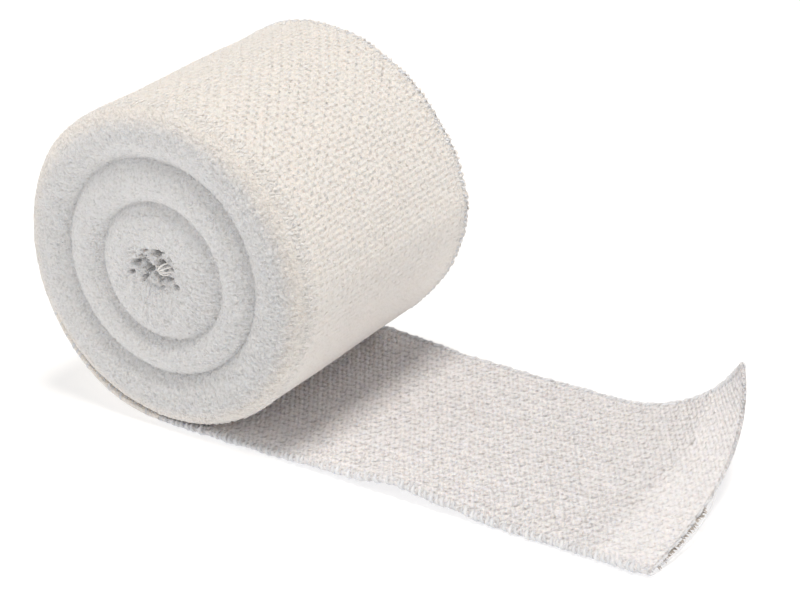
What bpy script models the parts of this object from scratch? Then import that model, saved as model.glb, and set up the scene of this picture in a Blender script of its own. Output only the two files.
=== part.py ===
"""Elastic crepe bandage, 6 cm wide, wound into a roll that lies on the end of its own strip.

The roll's axis runs along Y and the loose end runs along +X. The near face of the roll looks to -Y.
Lengths are in millimetres and angles in degrees; both are converted as points are made.
"""

import math
from collections import namedtuple

import bmesh
import bpy

MM = 0.001

# The strip
STRIP_WIDTH = 59.6
HALF_WIDTH = STRIP_WIDTH / 2
CLOTH_THICKNESS = 1.0
CLEARANCE = 0.3  # between the roll and the loose end under it

# The roll
ROLL_RADIUS = 35.65  # where the last turn leaves it
TURN_STEP = 0.8  # radius that the outermost turn loses on its way round
LEAVING_ANGLE = -150.0  # where the last turn leaves the roll, from +X towards +Z
FLAT_DEPTH = 0.3  # how far the roll is flattened where it rests
TURN_STEPS = 64
WALL_STEPS = 5

# The loose end, measured along the strip from the point under the roll's axis
END_LENGTH = 113.8
CURL_RADIUS = 36.3  # of the far edge, which curls up
CURL_START_NEAR = 85.0
CURL_START_FAR = 73.5
CURL_REACH = 40.0  # how far past the middle of the strip, towards the near edge, the curl dies out
CURL_POWER = 2.2
LENGTH_STEPS = 50
WIDTH_STEPS = 16

# The turns are not wound edge over edge: going outwards from the middle, they lean towards the near
# face and back in bands. On the near face each band stands proud, with a groove on its outer side, and
# on the far face it is sunk by as much. The centre is where the band's turns are wound round.
Band = namedtuple("Band", "groove_radius groove_lean crown_lean centre_x centre_z")
BANDS = (
    Band(groove_radius=15.2, groove_lean=-0.3, crown_lean=1.9, centre_x=-0.8, centre_z=-1.0),
    Band(groove_radius=23.8, groove_lean=-0.2, crown_lean=2.2, centre_x=-1.0, centre_z=0.0),
)
BAND_STEPS = 5
BULGE_POWER = 0.7  # under 1 makes a band full and its groove narrow
OUTER_CROWN_RADIUS = 29.5
OUTER_CROWN_LEAN = 2.4
WALL_LEAN = -1.3  # the outermost turns lean to the far side
SHOULDER_STEPS = 5
HOLLOW_RADIUS = 4.6
HOLLOW_DEPTH = 4.0
HOLLOW_X = -2.0  # the hollow's middle, from the roll's axis
HOLLOW_Z = 0.2
HOLLOW_MOUTH_LEAN = 0.4

# How far the roll is out of round: what its radius gains at each angle, at either face
Round = namedtuple("Round", "angle near far")
ROUNDS = (
    Round(angle=-180.0, near=-0.4, far=0.0),
    Round(angle=-150.0, near=0.0, far=0.0),
    Round(angle=-60.0, near=0.0, far=-0.2),
    Round(angle=-38.0, near=0.0, far=-0.5),
    Round(angle=-20.0, near=0.0, far=0.0),
    Round(angle=0.0, near=0.0, far=0.6),
    Round(angle=15.0, near=0.0, far=-0.4),
    Round(angle=35.0, near=0.0, far=-1.4),
    Round(angle=60.0, near=0.0, far=-1.5),
    Round(angle=80.0, near=0.0, far=-0.6),
    Round(angle=110.0, near=0.0, far=0.2),
    Round(angle=130.0, near=0.0, far=0.0),
    Round(angle=180.0, near=-0.4, far=0.0),
)

# How the last turn comes off the roll: the radius of its outer side at each angle
Wrap = namedtuple("Wrap", "angle outer_radius")

# How far the strip's edges stand off the surface along the loose end. Its middle lies flat.
Lift = namedtuple("Lift", "along near far")
LIFTS = (
    Lift(along=7.0, near=0.0, far=0.0),
    Lift(along=17.0, near=0.0, far=1.5),
    Lift(along=26.0, near=0.0, far=0.9),
    Lift(along=36.0, near=0.6, far=0.1),
    Lift(along=45.0, near=0.8, far=0.0),
    Lift(along=56.0, near=2.2, far=0.0),
    Lift(along=68.0, near=1.0, far=0.0),
    Lift(along=80.0, near=0.0, far=0.0),
)
LIFT_REACH = 12.0  # how far in from an edge the lift is felt


def turn_share(angle):
    """How much of the outermost turn lies between where it leaves the roll and this angle."""
    return (LEAVING_ANGLE - angle) / 360.0 % 1.0


LEFT_RADIUS = ROLL_RADIUS - TURN_STEP * turn_share(180.0)  # at the far face
BOTTOM_RADIUS = ROLL_RADIUS - TURN_STEP * turn_share(-90.0)
AXIS_HEIGHT = CLOTH_THICKNESS + CLEARANCE + BOTTOM_RADIUS - FLAT_DEPTH
WRAPS = (
    Wrap(angle=-145.0, outer_radius=BOTTOM_RADIUS + 1.7),
    Wrap(angle=-135.0, outer_radius=BOTTOM_RADIUS + 1.45),
    Wrap(angle=-125.0, outer_radius=BOTTOM_RADIUS + 1.4),
    Wrap(angle=-96.0, outer_radius=BOTTOM_RADIUS + 1.4),
    Wrap(angle=-90.0, outer_radius=AXIS_HEIGHT),
)

# The middle of the whole object, across and along the roll, from the middle of the roll's axis
MIDDLE_X = (END_LENGTH - LEFT_RADIUS) / 2
MIDDLE_Y = -(OUTER_CROWN_LEAN + WALL_LEAN) / 2


def clear_scene():
    for thing in list(bpy.data.objects):
        bpy.data.objects.remove(thing)


def make_cotton(name, colour):
    material = bpy.data.materials.new(name)
    material.use_nodes = True
    shader = material.node_tree.nodes["Principled BSDF"]
    shader.inputs["Base Color"].default_value = colour
    shader.inputs["Roughness"].default_value = 0.95
    shader.inputs["Metallic"].default_value = 0.0
    return material


def blend(low, high, share):
    """From low to high with a level start and end, for a share from 0 to 1."""
    share = min(max(share, 0.0), 1.0)
    return low + (high - low) * share * share * (3.0 - 2.0 * share)


def read_table(rows, key, column, value):
    """The column's value where the key column reaches value, eased between rows."""
    before = rows[0]
    for row in rows:
        if getattr(row, key) >= value:
            span = getattr(row, key) - getattr(before, key)
            share = (value - getattr(before, key)) / span if span else 0.0
            return blend(getattr(before, column), getattr(row, column), share)
        before = row
    return getattr(rows[-1], column)


def lean_profile():
    """(radius, lean towards the near face) of the turns, from the hollow's mouth to the wall."""
    points = []
    inner_radius, inner_lean = HOLLOW_RADIUS, HOLLOW_MOUTH_LEAN
    for band in BANDS:
        for step in range(BAND_STEPS):
            share = step / BAND_STEPS
            reach = (1 - math.cos(math.pi * share)) / 2
            base = inner_lean + (band.groove_lean - inner_lean) * share
            bulge = math.sin(math.pi * share) ** BULGE_POWER
            radius = inner_radius + (band.groove_radius - inner_radius) * reach
            points.append((radius, base + (band.crown_lean - base) * bulge))
        inner_radius, inner_lean = band.groove_radius, band.groove_lean
    for step in range(BAND_STEPS):
        share = step / BAND_STEPS
        radius = inner_radius + (OUTER_CROWN_RADIUS - inner_radius) * share
        bulge = math.sin(math.pi / 2 * share) ** BULGE_POWER
        points.append((radius, inner_lean + (OUTER_CROWN_LEAN - inner_lean) * bulge))
    for step in range(SHOULDER_STEPS + 1):
        turn = math.pi / 2 * step / SHOULDER_STEPS
        radius = OUTER_CROWN_RADIUS + (ROLL_RADIUS - OUTER_CROWN_RADIUS) * math.sin(turn)
        points.append((radius, OUTER_CROWN_LEAN + (WALL_LEAN - OUTER_CROWN_LEAN) * (1 - math.cos(turn))))
    return points


def roll_profile():
    """The roll's half section as (radius, distance along the axis), from the near face to the far one."""
    leans = lean_profile()
    hollow = [(0.0, HOLLOW_DEPTH), (HOLLOW_RADIUS / 2, HOLLOW_DEPTH * 0.85)]
    near = [(radius, HALF_WIDTH - depth) for radius, depth in hollow]
    near += [(radius, HALF_WIDTH + lean) for radius, lean in leans]
    far = [(radius, depth - HALF_WIDTH) for radius, depth in hollow]
    far += [(radius, lean - HALF_WIDTH) for radius, lean in leans]
    start = near[-1][1]
    wall = [(ROLL_RADIUS, start - STRIP_WIDTH * step / WALL_STEPS) for step in range(1, WALL_STEPS)]
    return near + wall + far[::-1]


def off_centre(radius):
    """How far the turns of this radius are wound off the roll's axis, across and up."""
    before = (0.0, HOLLOW_X, HOLLOW_Z)
    rows = [(band.groove_radius, band.centre_x, band.centre_z) for band in BANDS]
    for row in rows + [(OUTER_CROWN_RADIUS, 0.0, 0.0)]:
        if radius <= row[0]:
            share = (radius - before[0]) / (row[0] - before[0])
            return blend(before[1], row[1], share), blend(before[2], row[2], share)
        before = row
    return 0.0, 0.0


def settle_roll(point):
    """Moves a point of the turned roll to where the wound strip really lies."""
    radius = math.hypot(point.x, point.y) / MM
    shift_x, shift_z = off_centre(radius)
    if radius > OUTER_CROWN_RADIUS:
        angle = math.degrees(math.atan2(point.y, point.x))
        outermost = blend(0.0, 1.0, (radius - OUTER_CROWN_RADIUS) / (ROLL_RADIUS - OUTER_CROWN_RADIUS))
        near_growth = read_table(ROUNDS, "angle", "near", angle)
        far_growth = read_table(ROUNDS, "angle", "far", angle)
        growth = blend(far_growth, near_growth, point.z / MM / STRIP_WIDTH + 0.5)
        settled = radius + (growth - TURN_STEP * turn_share(angle)) * outermost
        point.x *= settled / radius
        point.y *= settled / radius
    point.x += shift_x * MM
    point.y = max(point.y + shift_z * MM, (CLOTH_THICKNESS + CLEARANCE - AXIS_HEIGHT) * MM)


def new_object(name, mesh, material, collection):
    made = bpy.data.objects.new(name, mesh)
    made.data.materials.append(material)
    collection.objects.link(made)
    return made


def build_wound_roll(material, collection):
    """A turned half section, settled into a spiral with a flat, laid with its axis along Y."""
    profile = roll_profile()
    outline = bpy.data.meshes.new("roll_outline")
    points = [(radius * MM, 0.0, along * MM) for radius, along in profile]
    outline.from_pydata(points, [(i, i + 1) for i in range(len(points) - 1)], [])
    roll = new_object("wound_roll", outline, material, collection)

    turning = roll.modifiers.new("turning", "SCREW")
    turning.axis = "Z"
    turning.steps = TURN_STEPS
    turning.render_steps = TURN_STEPS
    turning.use_merge_vertices = True
    turning.merge_threshold = 0.00001
    turning.use_smooth_shade = True
    turned = bpy.data.meshes.new_from_object(roll.evaluated_get(bpy.context.evaluated_depsgraph_get()))
    turned.name = "wound_roll"
    roll.modifiers.remove(turning)
    roll.data = turned
    bpy.data.meshes.remove(outline)

    for vertex in turned.vertices:
        settle_roll(vertex.co)
    roll.rotation_euler = (math.radians(90), 0, 0)
    roll.location = (-MIDDLE_X * MM, -MIDDLE_Y * MM, AXIS_HEIGHT * MM)
    return roll


def strip_path():
    """Stations along the loose end, as distances from the point under the roll's axis.

    Those before 0 lie on the roll's lower left, where the strip bends round it.
    """
    wrapped = math.radians(WRAPS[0].angle - WRAPS[-1].angle) * ROLL_RADIUS
    return [wrapped + (END_LENGTH - wrapped) * step / LENGTH_STEPS for step in range(LENGTH_STEPS + 1)]


def lay_point(along, across):
    """(x from the roll's axis, height) of a point on the underside of the loose end."""
    if along < 0:
        angle = WRAPS[-1].angle + math.degrees(along / ROLL_RADIUS)
        radius = read_table(WRAPS, "angle", "outer_radius", angle)
        turn = math.radians(angle)
        return radius * math.cos(turn), max(AXIS_HEIGHT + radius * math.sin(turn), 0.0)
    share = (across + HALF_WIDTH) / STRIP_WIDTH
    start = CURL_START_NEAR + (CURL_START_FAR - CURL_START_NEAR) * share
    bend = ((across + CURL_REACH) / (HALF_WIDTH + CURL_REACH)) ** CURL_POWER / CURL_RADIUS
    turn = max(along - start, 0.0) * bend
    x = min(along, start) + math.sin(turn) / bend
    near_share = blend(0.0, 1.0, (-across - HALF_WIDTH + LIFT_REACH) / LIFT_REACH)
    far_share = blend(0.0, 1.0, (across - HALF_WIDTH + LIFT_REACH) / LIFT_REACH)
    lift = near_share * read_table(LIFTS, "along", "near", along)
    lift += far_share * read_table(LIFTS, "along", "far", along)
    return x, (1 - math.cos(turn)) / bend + lift


def build_loose_end(material, collection):
    """A sheet laid row by row, whose rows draw together sideways where the cloth rises."""
    pitch = STRIP_WIDTH / WIDTH_STEPS
    form = bmesh.new()
    rows = []
    for along in strip_path():
        row = []
        y = -HALF_WIDTH
        height_before = lay_point(along, y)[1]
        for step in range(WIDTH_STEPS + 1):
            x, height = lay_point(along, step * pitch - HALF_WIDTH)
            if step:
                y += math.sqrt(pitch**2 - (height - height_before) ** 2)
            height_before = height
            row.append(form.verts.new(((x - MIDDLE_X) * MM, (y - MIDDLE_Y) * MM, height * MM)))
        rows.append(row)
    for row, following in zip(rows, rows[1:]):
        for i in range(WIDTH_STEPS):
            form.faces.new((row[i], following[i], following[i + 1], row[i + 1]))
    mesh = bpy.data.meshes.new("loose_end")
    form.to_mesh(mesh)
    form.free()
    mesh.shade_smooth()
    sheet = new_object("loose_end", mesh, material, collection)

    thickness = sheet.modifiers.new("thickness", "SOLIDIFY")
    thickness.thickness = CLOTH_THICKNESS * MM
    thickness.offset = 1.0
    thickness.use_even_offset = True
    return sheet


def main():
    clear_scene()
    parts = bpy.data.collections.new("elastic_bandage_roll")
    bpy.context.scene.collection.children.link(parts)
    build_wound_roll(make_cotton("roll_cotton", (0.86, 0.84, 0.79, 1.0)), parts)
    build_loose_end(make_cotton("end_cotton", (0.84, 0.81, 0.78, 1.0)), parts)


main()
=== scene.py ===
"""Looks of the elastic crepe bandage: a strip of off-white cloth wound into a roll, with its end loose.

Lengths are in millimetres from the roll's axis, with x towards the loose end, y along the axis (the near
face looks to -y) and z up, until place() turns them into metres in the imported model's frame. Angles are in
degrees round the axis, from +x towards +z.
"""

import math
from collections import namedtuple

import bpy
import numpy as np
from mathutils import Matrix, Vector


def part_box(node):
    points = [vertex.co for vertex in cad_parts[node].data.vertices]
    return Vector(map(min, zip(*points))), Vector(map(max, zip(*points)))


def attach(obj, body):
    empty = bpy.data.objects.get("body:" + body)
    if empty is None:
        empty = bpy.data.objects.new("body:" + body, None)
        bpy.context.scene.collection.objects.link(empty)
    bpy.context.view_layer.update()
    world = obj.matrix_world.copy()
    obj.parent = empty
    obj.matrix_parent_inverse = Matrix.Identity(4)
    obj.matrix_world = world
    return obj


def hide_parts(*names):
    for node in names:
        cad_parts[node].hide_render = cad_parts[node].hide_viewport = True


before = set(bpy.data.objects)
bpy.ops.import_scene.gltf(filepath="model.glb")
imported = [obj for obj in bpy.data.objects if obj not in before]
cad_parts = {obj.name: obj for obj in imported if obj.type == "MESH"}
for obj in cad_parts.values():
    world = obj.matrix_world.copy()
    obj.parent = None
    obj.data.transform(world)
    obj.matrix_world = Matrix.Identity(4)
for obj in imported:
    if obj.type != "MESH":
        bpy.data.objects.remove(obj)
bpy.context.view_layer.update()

MM = 0.001


def table(kind, columns, *rows):
    """Rows of numbers with named columns."""
    row_type = namedtuple(kind, columns)
    return [row_type(*row) for row in rows]


# ---- the strip and the roll
STRIP_WIDTH = 59.6
HALF_WIDTH = STRIP_WIDTH / 2
THICKNESS = 1.0
ROLL_RADIUS = 35.65  # where the last turn leaves it
TURN_STEP = 0.8  # radius that the outermost turn loses on its way round
TURN_PITCH = 1.15  # of the turns below it
LEAVING_ANGLE = -150.0
FLAT_DEPTH = 0.3  # of the flat that the roll rests on

END_LENGTH = 113.8
CURL_RADIUS = 36.3  # at the loose end's far edge
CURL_START_NEAR = 85.0
CURL_START_FAR = 73.5
CURL_REACH = 40.0
CURL_POWER = 2.2

# The turns' edges make bands on the faces. Their lean is how far they stand towards the near face.
BANDS = table(
    "Band", "groove_radius groove_lean crown_lean centre_x centre_z",
    (15.2, -0.3, 1.9, -0.8, -1.0),
    (23.8, -0.2, 2.2, -1.0, 0.0),
)
BULGE_POWER = 0.75  # of the bands' profile, a little rounder than the CAD's
CROWN_RADIUS = 29.5
CROWN_LEAN = 2.4
WALL_LEAN = -1.3
HOLLOW_RADIUS = 4.6
HOLLOW_MOUTH_LEAN = 0.4

# How far the turns of each radius are wound off the roll's axis, across and up
SHIFTS = table(
    "Shift", "radius x z",
    (0.0, -2.0, 0.2),
    *((band.groove_radius, band.centre_x, band.centre_z) for band in BANDS),
    (CROWN_RADIUS, 0.0, 0.0),
)

# What the wall's radius gains at each angle, at either face
ROUNDS = table(
    "Round", "angle near far",
    (-180.0, -0.4, 0.0), (-150.0, 0.0, 0.0), (-60.0, 0.0, -0.2), (-38.0, 0.0, -0.5),
    (-20.0, 0.0, 0.0), (0.0, 0.0, 0.6), (15.0, 0.0, -0.4), (35.0, 0.0, -1.4),
    (60.0, 0.0, -1.5), (80.0, 0.0, -0.6), (110.0, 0.0, 0.2), (130.0, 0.0, 0.0),
    (180.0, -0.4, 0.0),
)

# How far the strip's edges stand off the floor along the loose end
LIFTS = table(
    "Lift", "along near far",
    (7.0, 0.0, 0.0), (17.0, 0.0, 1.5), (26.0, 0.0, 0.9), (36.0, 0.6, 0.1),
    (45.0, 0.8, 0.0), (56.0, 2.2, 0.0), (68.0, 1.0, 0.0), (80.0, 0.0, 0.0),
)
LIFT_REACH = 12.0

# The radius of the outer side of the last turn as it comes off the roll. Angles past 210 lie round the
# lower left, over the turn below.
WRAPS = table(
    "Wrap", "angle near far",
    (188.0, 0.0, 0.0), (209.0, 36.45, 36.3), (216.0, 36.5, 36.5),
    (226.0, 36.35, 36.4), (264.0, 36.38, 36.38),
)

# ---- places in the frame
roll_low, roll_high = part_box("wound_roll")
end_low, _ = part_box("loose_end")


def turn_share(angle):
    """How much of the outermost turn lies between where it leaves the roll and this angle."""
    return (LEAVING_ANGLE - angle) / 360.0 % 1.0


LEFT_RADIUS = ROLL_RADIUS - TURN_STEP * turn_share(180.0)
BOTTOM_RADIUS = ROLL_RADIUS - TURN_STEP * turn_share(-90.0)
AXIS_X = roll_low.x / MM + LEFT_RADIUS
AXIS_Y = roll_high.y / MM - HALF_WIDTH + WALL_LEAN
AXIS_Z = roll_low.z / MM + BOTTOM_RADIUS - FLAT_DEPTH
ROLL_FLOOR = roll_low.z / MM - AXIS_Z
FLOOR = end_low.z / MM - AXIS_Z


def place(points):
    """Millimetres from the roll's axis as metres in the frame."""
    return (np.asarray(points) + (AXIS_X, AXIS_Y, AXIS_Z)) * MM


# ---- numbers
def ease(share):
    share = np.clip(share, 0.0, 1.0)
    return share * share * (3.0 - 2.0 * share)


def within_turn(angle):
    """The same angle from -180 to 180."""
    return (angle + 180.0) % 360.0 - 180.0


def arc(angle):
    """How far along the outermost turn this angle is."""
    return -np.radians(angle) * ROLL_RADIUS


def read_table(rows, column, values):
    """The column where the table's first column reaches each value, eased between rows."""
    keys = np.array([row[0] for row in rows])
    levels = np.array([getattr(row, column) for row in rows])
    upper = np.clip(np.searchsorted(keys, values), 1, len(rows) - 1)
    share = (values - keys[upper - 1]) / (keys[upper] - keys[upper - 1])
    return levels[upper - 1] + (levels[upper] - levels[upper - 1]) * ease(share)


LUMP_COUNT = 256
LUMP_TABLE = np.random.default_rng(7).uniform(-1.0, 1.0, (LUMP_COUNT, LUMP_COUNT))
SEED_STEP = (17.3, 41.9)  # moves one seed's lumps away from the next seed's


def luck_of(column, row):
    """The random number from -1 to 1 of each cell."""
    return LUMP_TABLE[column % LUMP_COUNT, row % LUMP_COUNT]


def lumps(u, v, size, seed):
    """Smooth random heights from -1 to 1 whose lumps are about size across."""
    u = np.asarray(u) / size + SEED_STEP[0] * seed
    v = np.asarray(v) / size + SEED_STEP[1] * seed
    column, row = np.floor(u).astype(int), np.floor(v).astype(int)
    across, down = ease(u - column), ease(v - row)
    low = luck_of(column, row) * (1 - across) + luck_of(column + 1, row) * across
    high = luck_of(column, row + 1) * (1 - across) + luck_of(column + 1, row + 1) * across
    return low * (1 - down) + high * down


Wave = namedtuple("Wave", "height size seed")


def waves(u, v, *parts):
    """Lumps of several sizes, added up."""
    return sum(part.height * lumps(u, v, part.size, part.seed) for part in parts)


def unit(vectors):
    return vectors / np.maximum(np.linalg.norm(vectors, axis=-1, keepdims=True), 1e-12)


def grid_of(rows, columns):
    return np.stack(np.meshgrid(rows, columns, indexing="ij"), -1)


# ---- meshes
def new_object(name, data):
    thing = bpy.data.objects.new(name, data)
    bpy.context.scene.collection.objects.link(thing)
    return thing


def new_piece(name, points, faces, material, attributes):
    """A smooth mesh. faces is a list of index arrays, each with its own number of corners."""
    mesh = bpy.data.meshes.new(name)
    mesh.vertices.add(len(points))
    mesh.vertices.foreach_set("co", place(points).astype(np.float32).ravel())
    corners = np.concatenate([group.ravel() for group in faces])
    counts = np.concatenate([np.full(len(group), group.shape[1]) for group in faces])
    starts = np.concatenate(([0], np.cumsum(counts)[:-1]))
    mesh.loops.add(len(corners))
    mesh.loops.foreach_set("vertex_index", corners.astype(np.int32))
    mesh.polygons.add(len(counts))
    mesh.polygons.foreach_set("loop_start", starts.astype(np.int32))
    mesh.update(calc_edges=True)
    mesh.shade_smooth()
    for label, values in attributes.items():
        values = np.asarray(values, np.float32)
        kind, field = ("FLOAT", "value") if values.ndim == 1 else ("FLOAT_VECTOR", "vector")
        mesh.attributes.new(label, kind, "POINT").data.foreach_set(field, values.ravel())
    mesh.materials.append(material)
    return new_object(name, mesh)


def quads_round(index):
    """Quads between neighbouring rings of points. index is (..., rings, points in a ring)."""
    here, there = index[..., :-1, :], index[..., 1:, :]
    corners = (here, there, np.roll(there, -1, axis=-1), np.roll(here, -1, axis=-1))
    return np.stack(corners, -1).reshape(-1, 4)


def tubes(paths, radii, refs, sides=6):
    """Points and faces of closed round tubes. paths is (tubes, points, 3), radii (tubes, points) and refs a
    direction at right angles to each tube's own plane."""
    count, length = paths.shape[:2]
    tangents = unit(np.gradient(paths, axis=1))
    side = unit(np.cross(tangents, refs[:, None, :]))
    other = np.cross(side, tangents)
    turn = 2 * np.pi * np.arange(sides)[:, None] / sides
    rings = side[:, :, None] * np.cos(turn) + other[:, :, None] * np.sin(turn)
    points = paths[:, :, None] + rings * radii[:, :, None, None]
    index = np.arange(count * length * sides).reshape(count, length, sides)
    caps = np.concatenate((index[:, 0], index[:, -1, ::-1]))
    return points.reshape(-1, 3), [quads_round(index), caps]


def yarn_piece(name, groups, material, tone):
    """One piece from several groups of tubes. tone has a number for each tube or for each point."""
    all_points, all_faces, before = [], [], 0
    for points, faces in groups:
        all_points.append(points)
        all_faces += [group + before for group in faces]
        before += len(points)
    tone = np.repeat(tone, before // len(tone))
    return new_piece(name, np.concatenate(all_points), all_faces, material, {"tone": tone})


# ---- the weave
# A cell of the cloth holds these spots: pits where yarns part and bumps where a yarn rides over.
# Tilt is in degrees, from across the strip towards along it, and bend curves a spot into an arc.
SPOT_COLUMNS = "along across half_along half_across tilt bend height"
INNER_CELL = (2.35, 3.65)  # the side that looks up on the loose end
INNER_SPOTS = table(
    "Spot", SPOT_COLUMNS,
    (0.00, 0.00, 0.26, 0.60, 42.0, 0.45, -0.32),
    (0.18, 0.45, 0.22, 0.30, 20.0, 0.0, -0.16),
    (1.17, 1.70, 0.24, 0.50, 50.0, 0.50, -0.28),
    (0.95, 3.10, 0.22, 0.42, 45.0, 0.45, -0.24),
    (-0.10, 1.55, 0.22, 0.42, 50.0, 0.45, -0.24),
    (1.10, 0.20, 0.30, 0.55, 42.0, 0.45, 0.22),
    (-0.05, 2.30, 0.28, 0.50, 30.0, 0.45, 0.20),
    (1.75, 2.55, 0.24, 0.40, 20.0, 0.0, 0.16),
)
OUTER_CELL = (2.57, 3.65)  # the side that looks out on the roll
OUTER_SPOTS = table(
    "Spot", SPOT_COLUMNS,
    (0.00, 0.00, 0.20, 0.46, -12.0, 0.15, -0.33),
    (1.28, 1.82, 0.20, 0.44, -16.0, 0.15, -0.31),
    (1.22, 0.10, 0.19, 0.36, -8.0, 0.15, -0.27),
    (-0.08, 1.74, 0.19, 0.36, -16.0, 0.15, -0.26),
    (0.50, 0.20, 0.24, 0.48, -12.0, 0.3, 0.20),
    (1.80, 2.00, 0.24, 0.48, -12.0, 0.3, 0.20),
    (0.62, 1.90, 0.22, 0.36, 8.0, 0.0, 0.14),
    (1.90, 0.15, 0.22, 0.36, 8.0, 0.0, 0.14),
)
ROWS_IN_CELL = 8  # of the meshes
MESH_SHARE = 0.75  # of the spots' height
MESH_BLUR = 0.20  # how much wider spots are in a mesh, whose faces are wider than single fibres
SPOT_LUCK = 0.2
YARN_LUMPS = Wave(0.03, 1.7, 14)
DARKEST_PIT = 0.45  # depth at which a pit gets its full painted shade
# the most painted shade that the weave's pits get
MOST_HOLLOW = 1.2
LOOSE_ALONG = (Wave(0.24, 9.0, 1), Wave(0.09, 2.6, 2))
LOOSE_ACROSS = (Wave(0.36, 11.0, 3), Wave(0.13, 2.6, 4))


def loosened(marks):
    """The strip's own coordinates, pulled about a little as yarns are."""
    along = marks[..., 0] + waves(marks[..., 0], marks[..., 1], *LOOSE_ALONG)
    across = marks[..., 1] + waves(along, marks[..., 1], *LOOSE_ACROSS)
    return np.stack((along, across), -1)


def weave(marks, cell, spots):
    """(height, hollowness) of the woven surface at each loosened place of the strip. Hollowness is painted
    shade in the pits.
    """
    height, hollow = np.zeros((2,) + marks.shape[:-1])
    for number, spot in enumerate(spots):
        offset = (marks - (spot.along, spot.across)) / cell
        numbers = np.round(offset)
        away, aside = np.moveaxis((offset - numbers) * cell, -1, 0)
        cell_along, cell_across = np.moveaxis(numbers.astype(int), -1, 0)
        tilt = math.radians(spot.tilt)
        half_along = math.hypot(spot.half_along, MESH_BLUR)
        half_across = math.hypot(spot.half_across, MESH_BLUR)
        length = (away * math.sin(tilt) + aside * math.cos(tilt)) / half_across
        width = (away * math.cos(tilt) - aside * math.sin(tilt)) / half_along + spot.bend * length**2
        fill = np.exp(-(width**2 + length**2))
        fill *= 1.0 + SPOT_LUCK * luck_of(cell_along * 7 + number * 31, cell_across)
        height += spot.height * fill
        if spot.height < 0:
            hollow += fill * -spot.height / DARKEST_PIT
    height = MESH_SHARE * height + waves(marks[..., 0], marks[..., 1], YARN_LUMPS)
    return height, np.clip(hollow, 0.0, MOST_HOLLOW)


# Places where a yarn was pulled: a gap darkened with painted shade, with a bright slub beside it
PULL_COLUMNS = "along across half_along half_across depth"
END_PULLS = table(
    "Pull", PULL_COLUMNS,
    (101.8, 13.6, 0.45, 1.0, 0.5),
    (101.2, 10.2, 0.3, 0.7, 0.25),
    (100.9, 6.0, 0.3, 0.9, 0.2),
    (100.4, 0.6, 0.3, 0.8, 0.25),
    (100.2, -2.4, 0.4, 0.8, 0.4),
    (99.6, -9.0, 0.3, 0.8, 0.2),
)
WALL_PULLS = table(
    "Pull", PULL_COLUMNS,
    (-54.4, -7.9, 0.5, 0.9, 0.4),
    (-58.2, 10.3, 0.5, 0.9, 0.35),
)
SLUB_SHIFT = 0.9  # from the gap to the slub, along the strip
SLUB_SHARE = 0.6  # of the gap's depth
GAP_PAINTED_SHADE = 4.0  # painted shade in the gap, for each millimetre of its depth


def pulled(marks, pulls):
    """(height, hollowness) that pulled yarns add, the hollowness being painted shade in the gaps."""
    height, hollow = np.zeros((2,) + marks.shape[:-1])
    for pull in pulls:
        away = marks[..., 0] - pull.along
        aside = ((marks[..., 1] - pull.across) / pull.half_across) ** 2
        gap = np.exp(-((away / pull.half_along) ** 2) - aside)
        slub = np.exp(-(((away + SLUB_SHIFT) / pull.half_along) ** 2) - aside)
        height += pull.depth * (SLUB_SHARE * slub - gap)
        hollow += GAP_PAINTED_SHADE * pull.depth * gap
    return height, hollow


# ---- the strip's middle surface
DENTS = table("Dent", "angle across depth angle_reach across_reach", (127.0, -10.0, 0.7, 9.0, 12.0))
WALL_WAVES = (Wave(0.16, 14.0, 5), Wave(0.07, 5.0, 6))
EDGE_WAVE = Wave(0.25, 10.0, 8)
EDGE_SLOWNESS = 0.1  # both edges move nearly together
TURN_END = 209.999  # just before the outermost turn has gone right round
FREE_FROM = 200.0  # past this angle the cloth can reach down to the floor
UPRIGHT_FROM = 205.0  # the wall's lean goes away past this angle
UPRIGHT_OVER = 40.0
FLOOR_WAVE = Wave(0.14, 16.0, 9)
FLOOR_WAVE_OVER = 30.0


def unevenness(angle, across):
    """What the outermost turn's radius gains from its dents and soft lumps."""
    gain = waves(arc(angle), across, *WALL_WAVES)
    for dent in DENTS:
        reach = (angle - dent.angle) / dent.angle_reach, (across - dent.across) / dent.across_reach
        gain = gain - dent.depth * np.exp(-reach[0] ** 2 - reach[1] ** 2)
    return gain


def rim_growth(angle, side):
    """What the radius gains at a face's rim. side is -1 for the near face and 1 for the far one."""
    gain = read_table(ROUNDS, "near" if side < 0 else "far", angle)
    return gain + unevenness(angle, side * HALF_WIDTH)


def blended(rows, angle, near_share):
    """A table's near and far columns, blended across the strip."""
    near, far = read_table(rows, "near", angle), read_table(rows, "far", angle)
    return near * near_share + far * (1 - near_share)


def wall_surface(angles, across):
    """Points of the middle of the outermost turn, which runs clockwise from under the loose end's start."""
    angle, v = np.moveaxis(grid_of(angles, across), -1, 0)
    near_share = 0.5 - v / STRIP_WIDTH
    gain = blended(ROUNDS, within_turn(angle), ease(near_share)) + unevenness(angle, v)
    radius = ROLL_RADIUS - TURN_STEP * turn_share(np.minimum(angle, TURN_END)) + gain
    first, second = WRAPS[0].angle, WRAPS[1].angle
    coming_off = ease((angle - first) / (second - first))
    loose = blended(WRAPS, np.maximum(angle, second), near_share)
    radius = radius * (1 - coming_off) + loose * coming_off - THICKNESS / 2
    turn = np.radians(angle)
    lean = WALL_LEAN * (1 - ease((angle - UPRIGHT_FROM) / UPRIGHT_OVER))
    y = v - lean + waves(arc(angle), v * EDGE_SLOWNESS, EDGE_WAVE)
    low = np.where(angle > FREE_FROM, FLOOR, ROLL_FLOOR) + THICKNESS / 2
    return np.stack((radius * np.cos(turn), y, np.maximum(radius * np.sin(turn), low)), -1)


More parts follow.
